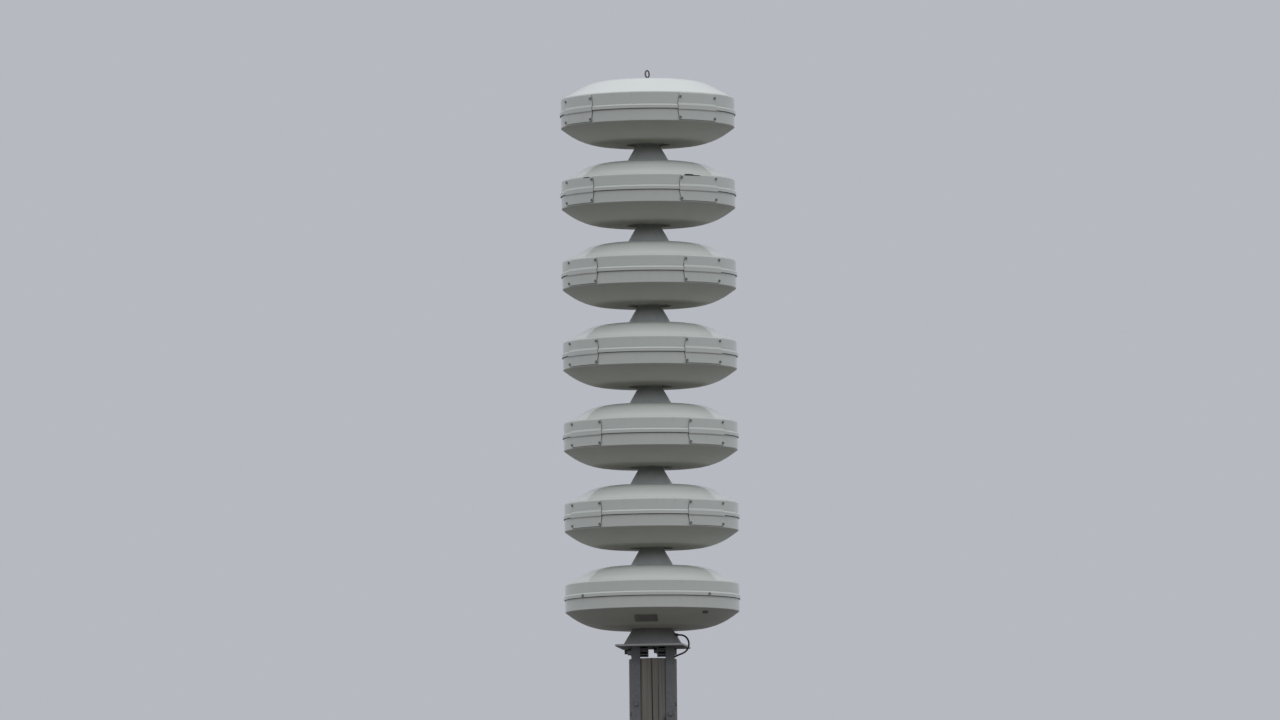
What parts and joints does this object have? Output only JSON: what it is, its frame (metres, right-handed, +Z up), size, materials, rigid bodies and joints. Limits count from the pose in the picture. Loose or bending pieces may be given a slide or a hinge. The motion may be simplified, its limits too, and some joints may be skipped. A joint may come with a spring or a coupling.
{
  "type": "civil defense siren tower",
  "caption": "Pole-mounted warning siren: a vertical stack of round saucer-shaped speaker cells with sound gaps between them, on a steel bracket on a tall wooden pole.",
  "frame": {"origin": "centre of the pole's flat foot at ground level", "axes": "+Z up the pole through the stack of cells; -Y towards the viewer of the picture; +X to the viewer's right"},
  "size_m": [0.887, 0.887, 10.5699],
  "materials": {
    "siren_paint": "glossy weathered light grey enamel",
    "neck_paint": "satin grey enamel",
    "blank_plate": "satin dark",
    "bracket_paint": "matt weathered dark grey",
    "plate_steel": "dull galvanised",
    "eye_steel": "dull forged",
    "pole_wood": "weathered treated log",
    "cable_jacket": "satin black",
    "gland": "matt black"
  },
  "bodies": {
    "root": {"base_cell_blank_plate": "blank_plate", "base_cell_lower_shell": "siren_paint", "base_cell_tab": "bracket_paint", "base_cell_upper_shell": "siren_paint", "base_cone": "neck_paint", "cell_1_access_covers": "siren_paint", "cell_1_lower_shell": "siren_paint", "cell_1_neck": "neck_paint", "cell_1_upper_shell": "siren_paint", "cell_2_access_covers": "siren_paint", "cell_2_lower_shell": "siren_paint", "cell_2_neck": "neck_paint", "cell_2_upper_shell": "siren_paint", "cell_3_access_covers": "siren_paint", "cell_3_lower_shell": "siren_paint", "cell_3_neck": "neck_paint", "cell_3_upper_shell": "siren_paint", "cell_4_access_covers": "siren_paint", "cell_4_lower_shell": "siren_paint", "cell_4_neck": "neck_paint", "cell_4_upper_shell": "siren_paint", "cell_5_access_covers": "siren_paint", "cell_5_lower_shell": "siren_paint", "cell_5_neck": "neck_paint", "cell_5_upper_shell": "siren_paint", "cell_6_access_covers": "siren_paint", "cell_6_lower_shell": "siren_paint", "cell_6_neck": "neck_paint", "cell_6_upper_shell": "siren_paint", "channel_left": "bracket_paint", "channel_right": "bracket_paint", "cone_gland": "gland", "leg_front_left": "bracket_paint", "leg_front_right": "bracket_paint", "leg_rear_left": "bracket_paint", "leg_rear_right": "bracket_paint", "lifting_eye": "eye_steel", "mounting_plate": "plate_steel", "pole": "pole_wood", "pole_gland": "gland", "speaker_cable": "cable_jacket"}
  },
  "joints": []
}
